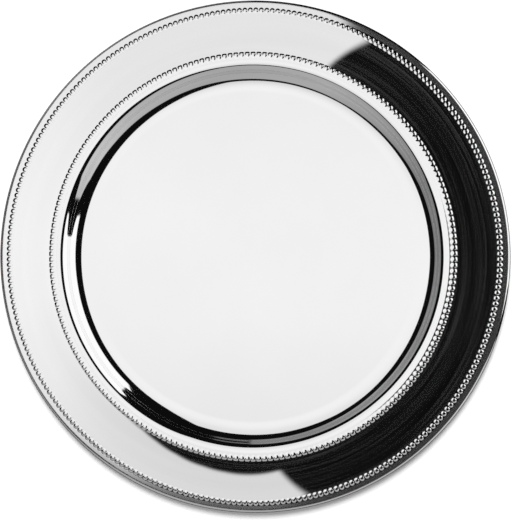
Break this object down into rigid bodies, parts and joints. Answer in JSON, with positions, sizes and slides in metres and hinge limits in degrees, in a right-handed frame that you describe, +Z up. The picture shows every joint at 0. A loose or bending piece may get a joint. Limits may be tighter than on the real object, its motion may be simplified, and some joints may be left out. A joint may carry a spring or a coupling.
{
  "type": "serving plate",
  "caption": "Round polished steel serving plate with a flat well, a steep wall and a broad rim between beaded borders; carries food or a dinner plate.",
  "frame": {"origin": "centre of the underside of the flat well, which rests on the table", "axes": "+Z up along the plate's axis, out of the well; X and Y lie in the table's plane and are alike"},
  "size_m": [0.32, 0.32, 0.0078],
  "materials": {
    "polished_sheet": "mirror polished, with a faint haze in fine rings on the rim between the beads",
    "drawn_wire": "drawn, dull",
    "outer_beads": "mirror polished",
    "inner_beads": "mirror polished"
  },
  "bodies": {
    "root": {"plate_body": "polished_sheet", "edge_wire": "drawn_wire", "outer_bead_border": "outer_beads", "inner_bead_border": "inner_beads"}
  },
  "joints": []
}
